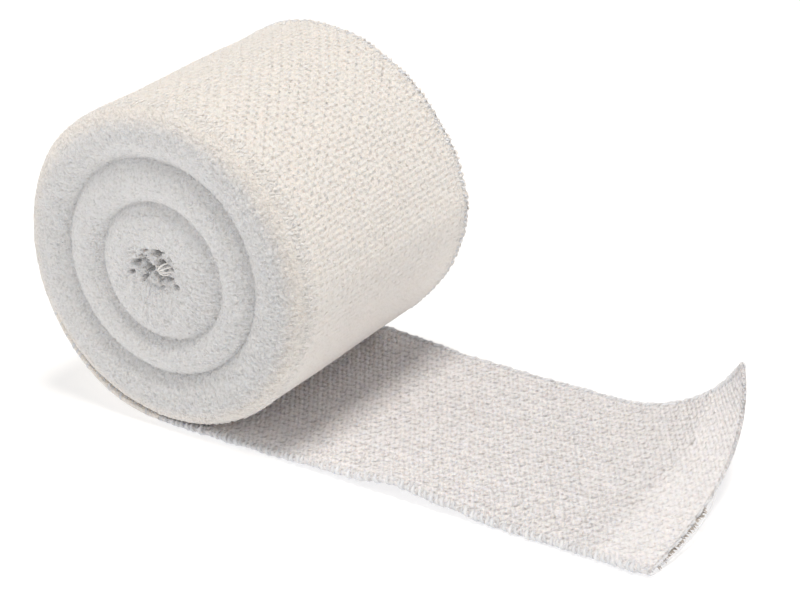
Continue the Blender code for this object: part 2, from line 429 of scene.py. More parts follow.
def end_underside(along, across):
    """Points of the underside of the loose end, whose rows draw together sideways where the cloth rises."""
    s, v = np.moveaxis(grid_of(along, across), -1, 0)
    share = (v + HALF_WIDTH) / STRIP_WIDTH
    start = CURL_START_NEAR + (CURL_START_FAR - CURL_START_NEAR) * share
    bend = ((v + CURL_REACH) / (HALF_WIDTH + CURL_REACH)) ** CURL_POWER / CURL_RADIUS
    turn = np.maximum(s - start, 0.0) * bend
    x = np.minimum(s, start) + np.sin(turn) / bend
    z = (1 - np.cos(turn)) / bend + FLOOR
    for column, outward in (("near", -v), ("far", v)):
        z += ease((outward - HALF_WIDTH + LIFT_REACH) / LIFT_REACH) * read_table(LIFTS, column, s)
    z += (FLOOR_WAVE.height + waves(s, v, FLOOR_WAVE)) * ease(s / FLOOR_WAVE_OVER)
    steps = np.sqrt(np.maximum(np.diff(v, axis=1) ** 2 - np.diff(z, axis=1) ** 2, 0.0))
    y = np.concatenate((v[:, :1], v[:, :1] + np.cumsum(steps, axis=1)), axis=1)
    return np.stack((x, y, z), -1)


def normals_of(points):
    """Unit normals of a grid of points."""
    return unit(np.cross(np.gradient(points, axis=0), np.gradient(points, axis=1)))


# ---- a woven sheet with two sides and rounded edges
LIP_STEPS = 3
LIP_REACH = 0.35  # how far a rounded edge stands past the flat


def columns_across(pitch):
    return np.linspace(-HALF_WIDTH, HALF_WIDTH, int(STRIP_WIDTH / pitch) + 1)


def calmed_front(marks, cell, spots, pulls, calmed):
    """The loosened marks, and (height, hollowness) of the weave with its pulled places. calmed is how much
    flatter, from 0 to 1, each row's weave is."""
    gaps = pulled(marks, pulls)
    marks = loosened(marks)
    woven = weave(marks, cell, spots)
    return marks, [part * (1 - calmed[:, None]) + gap for part, gap in zip(woven, gaps)]


def woven_sheet(name, middle, normals, front, back, back_step, marks, material, calmed):
    """A closed sheet round a middle surface. front and back are (height, hollowness) grids, and the back
    keeps every back_step-th column. marks is the grid of (along, across) for the material."""
    rows, columns = middle.shape[:2]
    kept = np.unique(np.append(np.arange(0, columns, back_step), columns - 1))[::-1]
    top = middle + normals * (THICKNESS / 2 + front[0])[..., None]
    under = (middle - normals * (THICKNESS / 2 + back[0])[..., None])[:, kept]
    turns = np.pi * (np.arange(LIP_STEPS) + 1) / (LIP_STEPS + 1)

    def lip(column, inward, order):
        side = unit(middle[:, column] - middle[:, column + inward])
        edge = middle[:, column]
        bulge = np.sin(turns[order])[None, :, None] * LIP_REACH
        rise = np.cos(turns[order])[None, :, None] * THICKNESS / 2
        return edge[:, None] + side[:, None] * bulge + normals[:, column][:, None] * rise

    far_lip = lip(columns - 1, -1, slice(None))
    near_lip = lip(0, 1, slice(None, None, -1))
    ring = np.concatenate((top, far_lip, under, near_lip), axis=1)
    none = np.zeros((rows, LIP_STEPS))
    hollow = np.concatenate((front[1], none, back[1][:, kept], none), axis=1)
    own_column = np.concatenate((np.arange(columns), [columns - 1] * LIP_STEPS, kept, [0] * LIP_STEPS))
    spread = np.insert(marks[:, own_column], 2, 0.0, axis=-1)
    around = ring.shape[1]
    index = np.arange(rows * around).reshape(rows, around)
    faces = [quads_round(index), index[:1], index[-1:, ::-1]]
    calmed = np.repeat(calmed, around)
    attributes = {"hollow": hollow.ravel(), "strip": spread.reshape(-1, 3), "smooth": calmed}
    return new_piece(name, ring.reshape(-1, 3), faces, material, attributes)


# ---- materials
# Noise scales are in repeats a metre.
STRAY_SCALE = 700.0
STRAY_ACROSS = 1.3  # times as far as along the strip
YARN_LUCK = 0.35
YARN_TOP = 0.4  # keeps the yarns' bumps about level
YARN_DENSITY = 1.0  # of the weave's own lattice
STRAND_DENSITY = 2.0
RELIEF_LUCK_SCALE = 800.0
RELIEF_LUCK = 0.6
RELIEF_LEAST = 0.7
FACE_GRAIN = 0.0009  # metres, as is the next
FACE_FINE_GRAIN = 0.00045
PATCH_SCALE = 130.0
PATCH_TONE = 0.08
GRAIN_SCALE = 1900.0
GRAIN_MIDDLE = 0.52
GRAIN_TONE = 0.9
GRAIN_DEPTH = 0.00035  # metres
FIBRE_SCALE = 2200.0  # of the loose yarns
FIBRE_TONE = 0.4
FIBRE_DEPTH = 0.0002  # metres

# Heights in millimetres of the yarns' and strands' bumps, the share of the weave's own spots, and how far
# fibres stray from their place along the strip
Relief = namedtuple("Relief", "yarns strands spots stray")


def set_inputs(node, values):
    for label, value in values.items():
        node.inputs[label].default_value = value


class Nodes:
    """Short calls that add nodes to a material."""

    def __init__(self, material):
        self.tree = material.node_tree
        self.shader = self.tree.nodes["Principled BSDF"]
        self.own = self.add("ShaderNodeTexCoord").outputs["Object"]

    def plug(self, value, socket):
        if isinstance(value, bpy.types.NodeSocket):
            self.tree.links.new(value, socket)
        else:
            socket.default_value = value

    def add(self, kind, inputs=(), **settings):
        node = self.tree.nodes.new(kind)
        for label, value in settings.items():
            setattr(node, label, value)
        for label, value in dict(inputs).items():
            self.plug(value, node.inputs[label])
        return node

    def math(self, operation, *values):
        return self.add("ShaderNodeMath", dict(enumerate(values)), operation=operation).outputs[0]

    def vectors(self, operation, *values):
        return self.add("ShaderNodeVectorMath", dict(enumerate(values)), operation=operation)

    def dot(self, first, second):
        return self.vectors("DOT_PRODUCT", first, second).outputs["Value"]

    def noise(self, scale, detail, output="Fac"):
        inputs = {"Vector": self.own, "Scale": scale, "Detail": detail}
        return self.add("ShaderNodeTexNoise", inputs).outputs[output]

    def attribute(self, name, output="Fac"):
        return self.add("ShaderNodeAttribute", attribute_name=name).outputs[output]

    def below(self, middle, level, times):
        """How far a level is below the middle, times a factor."""
        return self.math("MULTIPLY", self.math("SUBTRACT", middle, level), times)

    def mix(self, share, low, high):
        node = self.add("ShaderNodeMix", data_type="RGBA")
        for socket, value in ((0, share), (6, low), (7, high)):  # the factor and the two colours
            self.plug(value, node.inputs[socket])
        return node.outputs[2]

    def beads(self, size):
        """Rounded bumps of about this size: -0.5 between them to 0.5 on top."""
        away = self.add("ShaderNodeTexVoronoi", {"Vector": self.own, "Scale": 1 / size, "Randomness": 0.8})
        return self.math("SUBTRACT", 0.5, away.outputs["Distance"])

    def yarns(self, strip, cell, density):
        """Rounded bumps where yarns ride over, on slanting rows that are density times as dense as cells."""
        steps = [self.dot(strip, (1 / cell[0], slant / cell[1], 0.0)) for slant in (1, -1)]
        spot = self.add("ShaderNodeCombineXYZ", {"X": steps[0], "Y": steps[1]}).outputs[0]
        inputs = {"Vector": spot, "Scale": density, "Randomness": YARN_LUCK}
        away = self.add("ShaderNodeTexVoronoi", inputs, voronoi_dimensions="2D")
        return self.math("SUBTRACT", YARN_TOP, away.outputs["Distance"])

    def woven(self, cell, spots, relief):
        """The weave's height in millimetres, worked out again at the scale of single fibres."""
        strip = self.attribute("strip", "Vector")
        jitter = self.vectors("SUBTRACT", self.noise(STRAY_SCALE, 1.0, "Color"), (0.5, 0.5, 0.5)).outputs[0]
        stray = (relief.stray, relief.stray * STRAY_ACROSS, 0.0)
        strip = self.vectors("MULTIPLY_ADD", jitter, stray, strip).outputs[0]
        height = self.math("MULTIPLY", self.yarns(strip, cell, YARN_DENSITY), relief.yarns)
        height = self.math("MULTIPLY_ADD", self.yarns(strip, cell, STRAND_DENSITY), relief.strands, height)
        half_cell = (cell[0] / 2, cell[1] / 2, 1.0)
        for spot in spots:
            tilt = math.radians(spot.tilt)
            away = self.vectors("SUBTRACT", strip, (spot.along, spot.across, 0.0)).outputs[0]
            away = self.vectors("WRAP", away, half_cell, tuple(-half for half in half_cell)).outputs[0]
            sine, cosine = math.sin(tilt), math.cos(tilt)
            length = self.dot(away, (sine / spot.half_across, cosine / spot.half_across, 0.0))
            width = self.dot(away, (cosine / spot.half_along, -sine / spot.half_along, 0.0))
            squared = self.math("MULTIPLY", length, length)
            width = self.math("MULTIPLY_ADD", squared, spot.bend, width)
            squared = self.math("MULTIPLY_ADD", width, width, squared)
            fill = self.math("POWER", math.exp(-1.0), squared)
            height = self.math("MULTIPLY_ADD", fill, spot.height * relief.spots, height)
        luck = self.math("MULTIPLY_ADD", self.noise(RELIEF_LUCK_SCALE, 1.0), RELIEF_LUCK, RELIEF_LEAST)
        height = self.math("MULTIPLY", height, luck)
        return self.math("MULTIPLY", height, self.math("SUBTRACT", 1.0, self.attribute("smooth")))

    def felted(self, relief):
        """The height in millimetres of a soft mass of yarn loops."""
        height = self.math("MULTIPLY", self.beads(FACE_GRAIN), relief.yarns)
        return self.math("MULTIPLY_ADD", self.beads(FACE_FINE_GRAIN), relief.strands, height)

    def finish(self, share, light, deep, bump):
        """Gives the shader its bump, and its colour from light to deep."""
        share = self.math("MAXIMUM", self.math("MINIMUM", share, 1.0), 0.0)
        self.plug(self.mix(share, light, deep), self.shader.inputs["Base Color"])
        self.plug(bump, self.shader.inputs["Normal"])


def new_cotton(name):
    material = bpy.data.materials.new(name)
    material.use_nodes = True
    nodes = Nodes(material)
    sheen = {"Sheen Weight": 0.2, "Sheen Roughness": 0.4}
    soft = {"Subsurface Weight": 0.5, "Subsurface Radius": (1.0, 0.9, 0.8), "Subsurface Scale": 0.0009}
    set_inputs(nodes.shader, {"Roughness": 0.9, **sheen, **soft})
    return material, nodes


def cotton_cloth(name, light, deep, pits, relief_shade, relief, cell=None, spots=(), rim=None):
    """Cotton cloth with uneven tone and relief of its yarns. pits and the next weight say how much painted
    shade darkens the mesh's pits and the low places of the relief. rim is the wall's lit colour, painted onto
    a face near it."""
    material, nodes = new_cotton(name)
    patches = nodes.noise(PATCH_SCALE, 3.0)
    grain = nodes.noise(GRAIN_SCALE, 2.0)
    # painted shade in the mesh's pits and gaps
    share = nodes.math("MULTIPLY", nodes.attribute("hollow"), pits)
    share = nodes.math("ADD", share, nodes.below(GRAIN_MIDDLE, grain, GRAIN_TONE))
    share = nodes.math("ADD", share, nodes.below(0.5, patches, PATCH_TONE))
    height = nodes.woven(cell, spots, relief) if spots else nodes.felted(relief)
    # painted shade in the low places of the relief
    share = nodes.math("SUBTRACT", share, nodes.math("MULTIPLY", height, relief_shade))
    bump = nodes.add("ShaderNodeBump", {"Strength": 1.0, "Distance": GRAIN_DEPTH, "Height": grain})
    inputs = {"Strength": 1.0, "Distance": MM, "Height": height, "Normal": bump.outputs[0]}
    bump = nodes.add("ShaderNodeBump", inputs)
    # painted light: near the rim a face goes over to the wall's lit colour
    if rim:
        light = nodes.mix(nodes.attribute("painted_rim_light"), light, rim)
    nodes.finish(share, light, deep, bump.outputs[0])
    return material


def cotton_yarn(name, light, deep):
    """Loose yarn: each yarn has its own tone, with fine fibres."""
    material, nodes = new_cotton(name)
    grain = nodes.noise(FIBRE_SCALE, 3.0)
    share = nodes.math("ADD", nodes.attribute("tone"), nodes.below(0.5, grain, FIBRE_TONE))
    bump = nodes.add("ShaderNodeBump", {"Strength": 0.5, "Distance": FIBRE_DEPTH, "Height": grain})
    nodes.finish(share, light, deep, bump.outputs[0])
    return material


# deep is the colour of the painted shade in each cloth's pits, gaps and low places
wall_cotton = cotton_cloth(
    "wall_cotton",
    light=(0.96, 0.905, 0.86, 1), deep=(0.56, 0.49, 0.42, 1),
    pits=0.10, relief_shade=0.42,
    relief=Relief(yarns=0.45, strands=0.30, spots=0.85, stray=0.5),
    cell=OUTER_CELL, spots=OUTER_SPOTS,
)
end_cotton = cotton_cloth(
    "end_cotton",
    light=(0.95, 0.93, 0.95, 1), deep=(0.40, 0.38, 0.38, 1),
    pits=0.38, relief_shade=0.95,
    relief=Relief(yarns=0.36, strands=0.78, spots=0.9, stray=0.25),
    cell=INNER_CELL, spots=INNER_SPOTS,
)
# The faces' greyer, cooler colour is painted shade on the same cloth as the wall, and rim is its lit colour
face_cotton = cotton_cloth(
    "face_cotton",
    light=(0.875, 0.873, 0.88, 1), deep=(0.27, 0.26, 0.24, 1),
    pits=0.28, relief_shade=0.60,
    relief=Relief(yarns=0.32, strands=0.21, spots=0.0, stray=0.0),
    rim=(0.94, 0.89, 0.845, 1),
)
# dark yarn that is painted shade: stubs that stand in for the shade under the cut end
shade_stub_yarn = cotton_yarn("shade_stub_yarn", (0.68, 0.62, 0.57, 1), (0.32, 0.28, 0.25, 1))
loop_yarn = cotton_yarn("loop_yarn", (0.95, 0.91, 0.87, 1), (0.78, 0.73, 0.68, 1))
edge_yarn = cotton_yarn("edge_yarn", (0.87, 0.88, 0.91, 1), (0.64, 0.65, 0.68, 1))

# ---- the outermost turn
WALL_FIRST = 265.0  # angle, under the roll, where the loose end takes over
WALL_LAST = -154.0  # tucked under the wrapped start
WALL_ROW = OUTER_CELL[0] / ROWS_IN_CELL
WALL_COLUMN = 0.56
WALL_BACK_STEP = 27  # the wall's back is hidden and plain
WORN_SHARE = 0.7  # how much smoother the cloth is pulled low on the roll's right side
WORN_FROM = 22.0
WORN_TO = -180.0
WORN_OVER = 40.0

wall_length = math.radians(WALL_FIRST - WALL_LAST) * ROLL_RADIUS
wall_angles = np.linspace(WALL_FIRST, WALL_LAST, int(wall_length / WALL_ROW) + 1)
wall_across = columns_across(WALL_COLUMN)
wall_middle = wall_surface(wall_angles, wall_across)
wall_normals = normals_of(wall_middle)
worn = WORN_SHARE * ease((WORN_FROM - wall_angles) / WORN_OVER) * ease((wall_angles - WORN_TO) / WORN_OVER)
wall_marks = grid_of(arc(wall_angles), wall_across)
wall_marks, wall_front = calmed_front(wall_marks, OUTER_CELL, OUTER_SPOTS, WALL_PULLS, worn)
wall_back = np.zeros((2,) + wall_marks.shape[:2])
wall = woven_sheet(
    "outer_turn", wall_middle, wall_normals, wall_front, wall_back, WALL_BACK_STEP, wall_marks,
    wall_cotton, worn,
)

# ---- the loose end
END_FIRST = -3.11  # under the roll, where the outermost turn takes over
END_ROW = INNER_CELL[0] / ROWS_IN_CELL
END_COLUMN = 0.48
END_BACK_STEP = 2
HIDDEN_TO = 8.0  # rows before this lie under the roll and are coarse
HIDDEN_ROW = 0.8
BAND_START = 98.5  # the last stretch is woven denser and smoother
BAND_OVER = 5.0
BAND_CALM = 0.4
CUT_PAINTED_SHADE = 0.9  # painted shade between the threads of the cut end
CUT_ROWS = 2

end_along = np.concatenate(
    (np.arange(END_FIRST, HIDDEN_TO, HIDDEN_ROW), np.arange(HIDDEN_TO, END_LENGTH, END_ROW), [END_LENGTH])
)
end_across = columns_across(END_COLUMN)
end_under = end_underside(end_along, end_across)
end_normals = normals_of(end_under)
end_middle = end_under + end_normals * THICKNESS / 2
calmed = BAND_CALM * ease((end_along - BAND_START) / BAND_OVER)
end_marks = grid_of(end_along, end_across)
end_marks, end_front = calmed_front(end_marks, INNER_CELL, INNER_SPOTS, END_PULLS, calmed)
end_front[1][-CUT_ROWS:] += CUT_PAINTED_SHADE
end_back = weave(end_marks, OUTER_CELL, OUTER_SPOTS)
end = woven_sheet(
    "loose_cloth", end_middle, end_normals, end_front, end_back, END_BACK_STEP, end_marks,
    end_cotton, calmed,
)

# ---- the roll's faces
# The deep pits between the crumpled innermost turns of the near face: where, how wide and how deep
NEAR_PITS = table(
    "Pit", "x z half_x half_z depth",
    (-2.6, 2.6, 0.80, 0.64, 4.5),
    (-6.9, 0.2, 0.56, 0.48, 3.4),
    (-1.6, 0.3, 0.96, 0.72, 4.9),
    (-4.7, -0.7, 0.56, 0.48, 3.0),
    (-7.6, -2.0, 0.48, 0.40, 1.9),
    (1.5, 2.4, 0.56, 0.40, 1.9),
    (0.7, -2.3, 0.56, 0.40, 2.2),
    (3.4, -3.1, 0.64, 0.40, 1.9),
)
# painted shade in the hollow's deep pits
PIT_PAINTED_SHADE = 1.5
CREASE_DEPTH = 0.22  # how much deeper than the CAD's the grooves between the bands are, in a narrow line
CREASE_REACH = 0.8
# painted shade along the grooves between the bands
CREASE_PAINTED_SHADE = 0.10
Spread = namedtuple("Spread", "x z half_x half_z")
HOLLOW_INSET = 0.9
HOLLOW_STEEPNESS = 1.4
CRUMPLE = Spread(x=-2.2, z=-0.2, half_x=4.6, half_z=3.9)
CRUMPLE_WAVES = (Wave(1.0, 1.15, 31), Wave(0.6, 0.6, 32))
CRUMPLE_FROM = 0.3  # of the waves' height
CRUMPLE_OVER = 0.35
CRUMPLE_DEPTH = 2.4
# painted shade in the gaps between the crumpled turns
CRUMPLE_PAINTED_SHADE = 0.8
FACE_WAVE = Wave(0.22, 9.0, 11)
FACE_FLOOR = 0.2  # how far the faces stay above the flat

LOOP_ALONG = 0.9  # from one yarn loop to the next
LOOP_HALF = 0.36
LOOP_REACH = 0.55  # across the turns
LOOP_LUCK_ALONG = 0.35
LOOP_LUCK_OUT = 0.24
LOOP_SKEW = 0.30
LOOP_LUCK_HEIGHT = 0.35
LOOP_DEPTH = 0.36
LOOP_RISE = 0.12
LOOP_GAP_PAINTED_SHADE = 0.22  # painted shade between loops
LOOP_TONE = 0.06
FELT_WAVE = Wave(0.10, 0.7, 12)
RIM_CALM = 0.75  # how much smoother the face is close to the rim
RIM_CALM_FROM = 33.5
RIM_CALM_OVER = 2.0
FUZZ_SWING = 0.40  # round the axis: the face is worn smoothest on the upper left
FUZZ_MOST_AT = -40.0
OUTER_FUZZ = 0.40  # how much coarser the outer band is
OUTER_FUZZ_FROM = 20.0
OUTER_FUZZ_OVER = 6.0

FINE_RING = 0.16  # between rings of the mesh round the hollow
FINE_REACH = 7.2
MOST_FACE_HOLLOW = 2.2
TUCKS = ((0.35, 0.6), (0.7, 1.8))  # how far the outermost rings go down and in, under the wall's cloth
PAINTED_RIM_LIGHT_FROM = 30.0  # from this radius the faces are painted towards the wall's lit colour: painted light
PAINTED_RIM_LIGHT_OVER = 5.0


def lean_at(radius):
    """How far the edges of the turns of this radius stand towards the near face."""
    lean = np.zeros_like(radius)
    inner_radius, inner_lean = HOLLOW_RADIUS, HOLLOW_MOUTH_LEAN
    for band in BANDS:
        reach = np.clip((radius - inner_radius) / (band.groove_radius - inner_radius), 0.0, 1.0)
        base = inner_lean + (band.groove_lean - inner_lean) * reach
        bulged = base + (band.crown_lean - base) * np.sin(np.pi * reach).clip(0.0) ** BULGE_POWER
        lean = np.where(radius >= inner_radius, bulged, lean)
        inner_radius, inner_lean = band.groove_radius, band.groove_lean
    share = np.clip((radius - inner_radius) / (CROWN_RADIUS - inner_radius), 0.0, 1.0)
    rising = inner_lean + (CROWN_LEAN - inner_lean) * np.sin(np.pi / 2 * share) ** BULGE_POWER
    lean = np.where(radius >= inner_radius, rising, lean)
    turn = np.arcsin(np.clip((radius - CROWN_RADIUS) / (ROLL_RADIUS - CROWN_RADIUS), 0.0, 1.0))
    falling = CROWN_LEAN + (WALL_LEAN - CROWN_LEAN) * (1 - np.cos(turn))
    return np.where(radius >= CROWN_RADIUS, falling, lean)


def crease(radius):
    """1 at the bottom of the grooves between the bands, and 0 away from them."""
    return sum(np.exp(-(((radius - band.groove_radius) / CREASE_REACH) ** 2)) for band in BANDS)


def squared_reach(x, z, patch):
    return ((x - patch.x) / patch.half_x) ** 2 + ((z - patch.z) / patch.half_z) ** 2


def crumple(x, z):
    """How open, from 0 to 1, the irregular gaps between the crumpled innermost turns are."""
    opened = ease((waves(x, z, *CRUMPLE_WAVES) - CRUMPLE_FROM) / CRUMPLE_OVER)
    return opened * np.exp(-(squared_reach(x, z, CRUMPLE) ** 1.5))


def face_point(radius, angle, side):
    """Points of the face that the turns' edges make. side is -1 for the near face and 1 for the far one."""
    turn = np.radians(angle)
    inner_radius = np.clip(radius, 0.0, CROWN_RADIUS)
    outermost = ease((radius - CROWN_RADIUS) / (ROLL_RADIUS - CROWN_RADIUS))
    settled = radius + (rim_growth(within_turn(angle), side) - TURN_STEP * turn_share(angle)) * outermost
    x = settled * np.cos(turn) + read_table(SHIFTS, "x", inner_radius)
    z = settled * np.sin(turn) + read_table(SHIFTS, "z", inner_radius)
    lean = lean_at(radius) + waves(x, z, FACE_WAVE) * (1 - outermost)
    inset = HOLLOW_INSET * ease((HOLLOW_RADIUS - radius) / HOLLOW_RADIUS * HOLLOW_STEEPNESS)
    inset = inset + CREASE_DEPTH * crease(radius)
    return np.stack((x, side * (HALF_WIDTH - inset) - lean, np.maximum(z, ROLL_FLOOR + FACE_FLOOR)), -1)


def loop_tops(radius, angle):
    """Rounded tops of the yarn loops along each turn's edge: (height from 0 to 1, tone of the loop)."""
    phase = (ROLL_RADIUS - radius) / TURN_PITCH + turn_share(angle)
    row = np.floor(phase).astype(int)
    weight, tone = np.zeros((2,) + radius.shape)
    for turn_row in (row - 1, row, row + 1):
        spun = 2 * np.pi * (turn_row - turn_share(angle) + 1)
        travelled = (ROLL_RADIUS * spun - TURN_PITCH * spun**2 / (4 * np.pi)) / LOOP_ALONG
        first = np.floor(travelled).astype(int)
        for loop in (first - 1, first, first + 1):
            luck_tone = luck_of(loop * 3, turn_row * 11)
            aside = (travelled - loop - 0.5 - LOOP_LUCK_ALONG * luck_of(loop, turn_row * 5)) * LOOP_ALONG
            out = (phase - turn_row - 0.5 - LOOP_LUCK_OUT * luck_of(loop + 90, turn_row * 7)) * TURN_PITCH
            skewed = aside + LOOP_SKEW * luck_tone * out
            fill = np.exp(-((skewed / LOOP_HALF) ** 2) - (out / LOOP_REACH) ** 2)
            fill = fill * (1 + LOOP_LUCK_HEIGHT * luck_tone)
            weight = np.maximum(weight, fill)
            tone = np.where(weight == fill, luck_tone, tone)
    return weight, tone


def build_face(name, side, pits, ring, spokes):
    """The turns' fuzzy edges: a row of soft loops along each turn, and the hollow's pits, with painted shade
    between the loops, along the grooves and in the crumpled gaps and pits. The outermost rings dive under the
    cloth of the outermost turn."""
    fine = np.arange(FINE_RING, FINE_REACH, FINE_RING)
    rest = np.arange(FINE_REACH, ROLL_RADIUS - ring / 2, ring)
    rings = np.concatenate((fine, rest, [ROLL_RADIUS]))
    angles = np.linspace(-180.0, 180.0, spokes, endpoint=False)
    radius, angle = np.moveaxis(grid_of(rings, angles), -1, 0)
    points = face_point(radius, angle, side)
    x, z = points[..., 0], points[..., 2]
    top, tone = loop_tops(radius, angle)
    fuzzy = 1 - RIM_CALM * ease((radius - RIM_CALM_FROM) / RIM_CALM_OVER)
    fuzzy *= 0.80 + FUZZ_SWING * np.cos(np.radians(angle - FUZZ_MOST_AT))
    fuzzy *= 0.85 + OUTER_FUZZ * ease((radius - OUTER_FUZZ_FROM) / OUTER_FUZZ_OVER)
    gaps = crumple(x, z)
    sunk = (LOOP_DEPTH * (1 - top) - LOOP_RISE) * fuzzy + waves(x, z, FELT_WAVE) + CRUMPLE_DEPTH * gaps
    # painted shade between the loops, along the grooves and in the crumpled gaps, and each loop's own tone
    hollow = (LOOP_GAP_PAINTED_SHADE * (1 - top) - LOOP_TONE * tone) * fuzzy
    hollow += CREASE_PAINTED_SHADE * crease(radius) + CRUMPLE_PAINTED_SHADE * gaps
    for pit in pits:
        fill = np.exp(-squared_reach(x, z, pit))
        sunk += pit.depth * fill
        hollow += PIT_PAINTED_SHADE * fill
    points[..., 1] -= side * sunk
    rim = points[-1]
    outward = rim * (1, 0, 1) / ROLL_RADIUS
    tucked = [rim - outward * drop - np.array((0, side * run, 0)) for drop, run in TUCKS]
    points = np.concatenate((points, np.stack(tucked)))
    hollow = np.concatenate([hollow] + [hollow[-1:]] * len(TUCKS))
    painted_rim_light = ease((np.append(rings, [ROLL_RADIUS] * len(TUCKS)) - PAINTED_RIM_LIGHT_FROM) / PAINTED_RIM_LIGHT_OVER)
    count, around = points.shape[:2]
    index = np.arange(count * around).reshape(count, around)
    faces = [quads_round(index), index[:1, ::-1]]
    if side > 0:
        faces = [group[:, ::-1] for group in faces]
    attributes = {"hollow": np.clip(hollow, 0, MOST_FACE_HOLLOW).ravel(), "painted_rim_light": np.repeat(painted_rim_light, around)}
    return new_piece(name, points.reshape(-1, 3), faces, face_cotton, attributes)


near_face = build_face("near_turns", -1, NEAR_PITS, ring=0.3, spokes=640)
far_face = build_face("far_turns", 1, (), ring=0.42, spokes=480)

# ---- yarns in the hollow and round the rims
# The strip's inner end, whose frayed yarns part from one tip in the near face's hollow: across and up
FRAY_TIP = (-1.5, -0.9)
FRAY_ENDS = ((1.0, 1.5), (2.0, 0.9), (2.3, -0.1), (1.3, -0.9))
FRAY_BOW = 0.3
FRAY_STAND = 0.5  # how far out the yarns stand where they stand out most
FRAY_TOP = 0.35  # of their length
FRAY_FALL = 1.2
FRAY_RADII = 0.19 * np.array([0.5, 0.9, 1.0, 1.0, 1.0, 0.95, 0.9, 0.8, 0.5])

fray_step = np.linspace(0.0, 1.0, len(FRAY_RADII))[:, None]
fray_fan = np.linspace(-1, 1, len(FRAY_ENDS))[:, None, None]
fray_bow = FRAY_BOW * np.sin(np.pi * fray_step) * np.array((1.0, -1.0)) * fray_fan
fray_flat = np.array(FRAY_TIP) + (np.array(FRAY_ENDS)[:, None] - FRAY_TIP) * fray_step + fray_bow
fray_depth = -HALF_WIDTH - FRAY_STAND + FRAY_FALL * np.abs(fray_step - FRAY_TOP) ** 1.5
fray_paths = np.insert(fray_flat, 1, fray_depth[:, 0], axis=-1)
fray_refs = np.tile((0.0, 1.0, 0.0), (len(FRAY_ENDS), 1))
fray_tubes = tubes(fray_paths, np.tile(FRAY_RADII, (len(FRAY_ENDS), 1)), fray_refs, sides=8)
core_yarns = yarn_piece("hollow_yarns", [fray_tubes], loop_yarn, np.zeros(len(FRAY_ENDS)))

# Rows of bright stitches along each rim: how far in from the face, and how full the row is
RIM_ROWS = ((-0.3, 1.0), (1.1, 1.0), (2.4, 0.7))
RIM_PITCH = 1.35
RIM_LUCK = 0.35
RIM_HALF = (0.55, 0.95)  # half a stitch's length, from least to most
RIM_SLANT = (-0.25, 0.25)  # the usual slant, and how much it varies
RIM_RADIUS = (0.28, 0.38)
RIM_TONE = (0.0, 0.5)
RIM_OPEN = (-178.0, -149.0)  # where the last turn comes off the near rim, which has none there
RIM_TAPER = np.array([0.5, 0.9, 1.0, 1.0, 0.9, 0.5])
RIM_SINK = 0.10  # of a stitch's middle into the cloth
RIM_BOW = 0.25  # further at its ends
RIM_FALL = 0.35  # and further where it reaches past the wall's edge
RIM_FLOOR = 0.25


def rim_loops(name, side, seed):
    """Bright stitches of the selvedge that lie along the roll's rim, where the wall turns into a face."""
    random = np.random.default_rng(seed)
    paths, radii = [], []
    for row_inset, fullness in RIM_ROWS:
        count = int(2 * math.pi * ROLL_RADIUS / RIM_PITCH * fullness)
        angle = (np.arange(count) + random.uniform(-RIM_LUCK, RIM_LUCK, count)) * 360.0 / count - 180.0
        if side < 0:
            angle = angle[(angle > RIM_OPEN[1]) | (angle < RIM_OPEN[0])]
        count = len(angle)
        base = ROLL_RADIUS - TURN_STEP * turn_share(angle) + rim_growth(angle, side)
        half = random.uniform(*RIM_HALF, count)[:, None]
        slant = random.normal(*RIM_SLANT, count)[:, None]
        middle = row_inset + random.uniform(-RIM_LUCK, RIM_LUCK, count)[:, None]
        step = np.linspace(-1.0, 1.0, len(RIM_TAPER))[None]
        inward = middle + half * step
        radius = base[:, None] - RIM_SINK - RIM_BOW * step**2 - RIM_FALL * np.maximum(-inward, 0.0) ** 2
        turn = np.radians(angle)[:, None] + slant * half * step / ROLL_RADIUS
        rim_y = face_point(np.full(count, ROLL_RADIUS), angle, side)[:, 1][:, None]
        z = np.maximum(radius * np.sin(turn), ROLL_FLOOR + RIM_FLOOR)
        paths.append(np.stack((radius * np.cos(turn), rim_y - side * inward, z), -1))
        radii.append(random.uniform(*RIM_RADIUS, count)[:, None] * RIM_TAPER)
    paths, radii = np.concatenate(paths), np.concatenate(radii)
    loops = tubes(paths, radii, unit(paths[:, 3] * (1, 0, 1)))
    return yarn_piece(name, [loops], loop_yarn, random.uniform(*RIM_TONE, len(paths)))


near_loops = rim_loops("near_loops", -1, 21)
far_loops = rim_loops("far_loops", 1, 22)

# ---- selvedge stitches
STITCH_PITCH = 1.3
STITCH_INSET = 0.9
STITCH_TURN = (-0.15, 1.15)  # half turns round the edge, from one side to the other
STITCH_SLANT = (0.9, 1.7)  # from least to most, as are the next three
STITCH_REACH = (1.0, 1.25)
STITCH_RADIUS = (0.26, 0.32)
STITCH_TONE = (0.0, 0.4)
STITCH_SHIFT = 0.28
STITCH_RISE = 0.44
STITCH_TAPER = np.array([0.5, 0.8, 1, 1, 1, 1, 1, 0.8, 0.5])
FAT_PITCH = 2.2  # about this far apart, the stitches are fatter and further out
FAT_REACH = 0.35
FAT_RADIUS = 0.13
THIN_TONE = 0.2


